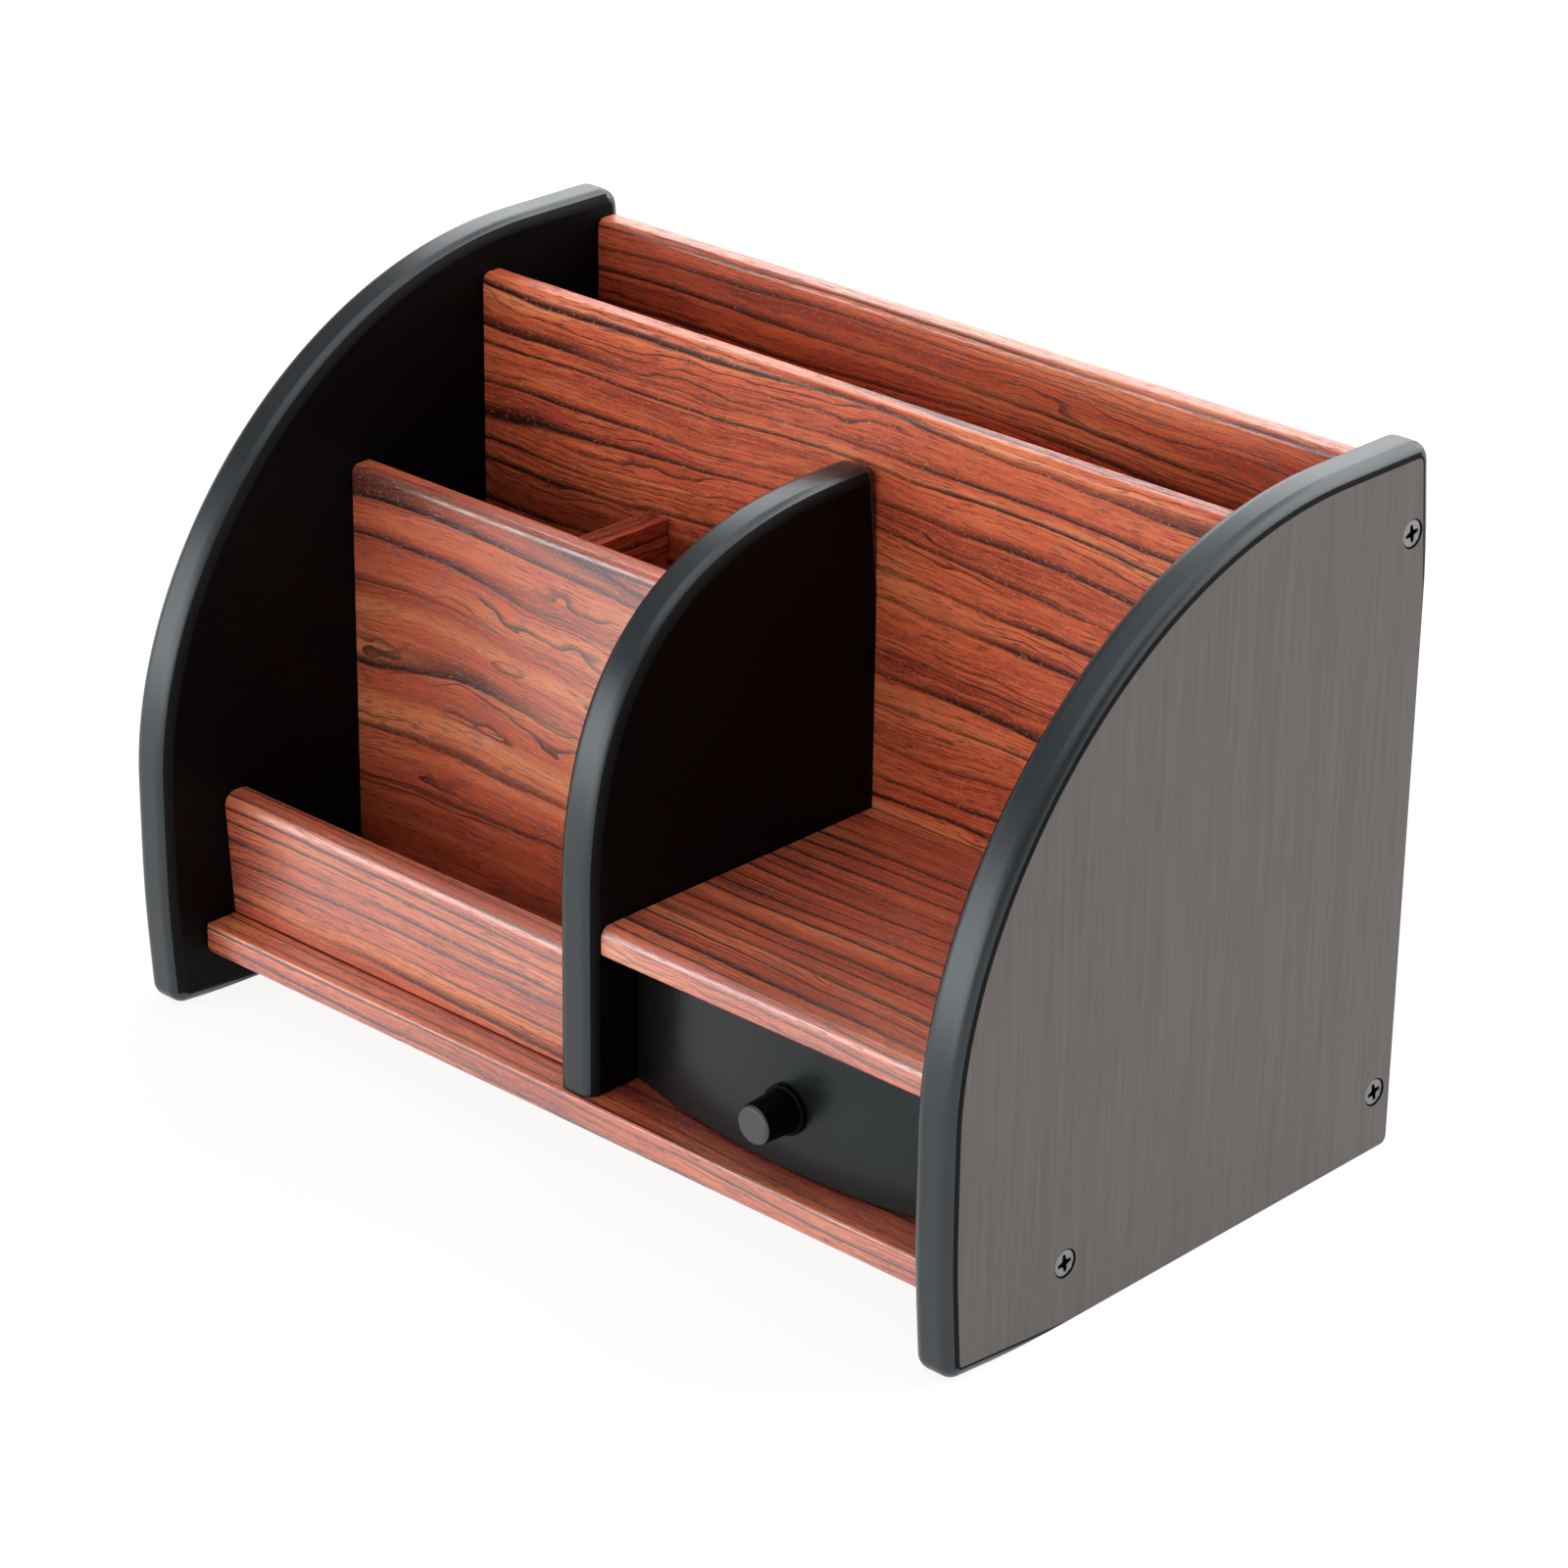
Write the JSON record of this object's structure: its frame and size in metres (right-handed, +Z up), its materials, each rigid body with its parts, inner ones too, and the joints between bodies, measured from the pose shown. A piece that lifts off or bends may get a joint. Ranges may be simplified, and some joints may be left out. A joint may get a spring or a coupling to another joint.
{
  "type": "desk organizer with a drawer",
  "caption": "Free-standing desk organizer: arc-fronted upright panels with a letter slot, pen cells, a front pocket, an open tray and a small bow-front drawer.",
  "frame": {"origin": "middle of the footprint, on the surface that the side panels stand on", "axes": "+X to the right as seen from the front, -Y to the front where the drawer opens, +Z up"},
  "size_m": [0.2286, 0.1352, 0.1524],
  "materials": {
    "black_lacquer": "black satin lacquer on wood board, dark grey wood grain on the outer faces",
    "rosewood_veneer": "satin to semi-gloss red-brown rosewood veneer, grain along the width",
    "beech_dowel": "plain beech",
    "zinc_steel": "zinc-plated steel"
  },
  "bodies": {
    "case": {"back_board": "rosewood_veneer", "back_board_dowel_1": "beech_dowel", "back_board_dowel_2": "beech_dowel", "base_board": "rosewood_veneer", "centre_divider": "black_lacquer", "centre_divider_screw_1": "zinc_steel", "centre_divider_screw_2": "zinc_steel", "drawer_shelf": "rosewood_veneer", "fence_left_dowel_1": "beech_dowel", "fence_left_dowel_2": "beech_dowel", "fence_right_dowel_1": "beech_dowel", "fence_right_dowel_2": "beech_dowel", "front_fence": "rosewood_veneer", "left_panel_screw_front": "zinc_steel", "left_panel_screw_rear": "zinc_steel", "left_panel_screw_top": "zinc_steel", "left_side_panel": "black_lacquer", "main_divider_board": "rosewood_veneer", "main_divider_left_dowel_1": "beech_dowel", "main_divider_left_dowel_2": "beech_dowel", "main_divider_right_dowel_1": "beech_dowel", "main_divider_right_dowel_2": "beech_dowel", "main_divider_screw_1": "zinc_steel", "main_divider_screw_2": "zinc_steel", "partition_front_dowel_1": "beech_dowel", "partition_front_dowel_2": "beech_dowel", "partition_rear_dowel_1": "beech_dowel", "partition_rear_dowel_2": "beech_dowel", "pen_divider_board": "rosewood_veneer", "pen_divider_left_dowel_1": "beech_dowel", "pen_divider_left_dowel_2": "beech_dowel", "pen_divider_right_dowel_1": "beech_dowel", "pen_divider_right_dowel_2": "beech_dowel", "pen_partition": "rosewood_veneer", "right_panel_screw_front": "zinc_steel", "right_panel_screw_rear": "zinc_steel", "right_panel_screw_top": "zinc_steel", "right_side_panel": "black_lacquer", "shelf_left_dowel_1": "beech_dowel", "shelf_left_dowel_2": "beech_dowel", "shelf_right_dowel_1": "beech_dowel", "shelf_right_dowel_2": "beech_dowel"},
    "drawer": {"drawer_back": "black_lacquer", "drawer_back_left_dowel_1": "beech_dowel", "drawer_back_left_dowel_2": "beech_dowel", "drawer_back_right_dowel_1": "beech_dowel", "drawer_back_right_dowel_2": "beech_dowel", "drawer_bottom": "black_lacquer", "drawer_front": "black_lacquer", "drawer_front_left_dowel_1": "beech_dowel", "drawer_front_left_dowel_2": "beech_dowel", "drawer_front_right_dowel_1": "beech_dowel", "drawer_front_right_dowel_2": "beech_dowel", "drawer_knob": "black_lacquer", "drawer_left_side": "black_lacquer", "drawer_right_side": "black_lacquer", "knob_screw": "zinc_steel"}
  },
  "joints": [
    {"name": "drawer_slide", "type": "slide", "parent": "case", "child": "drawer", "axis": [0, -1, 0], "range_m": [0, 0.06]}
  ]
}
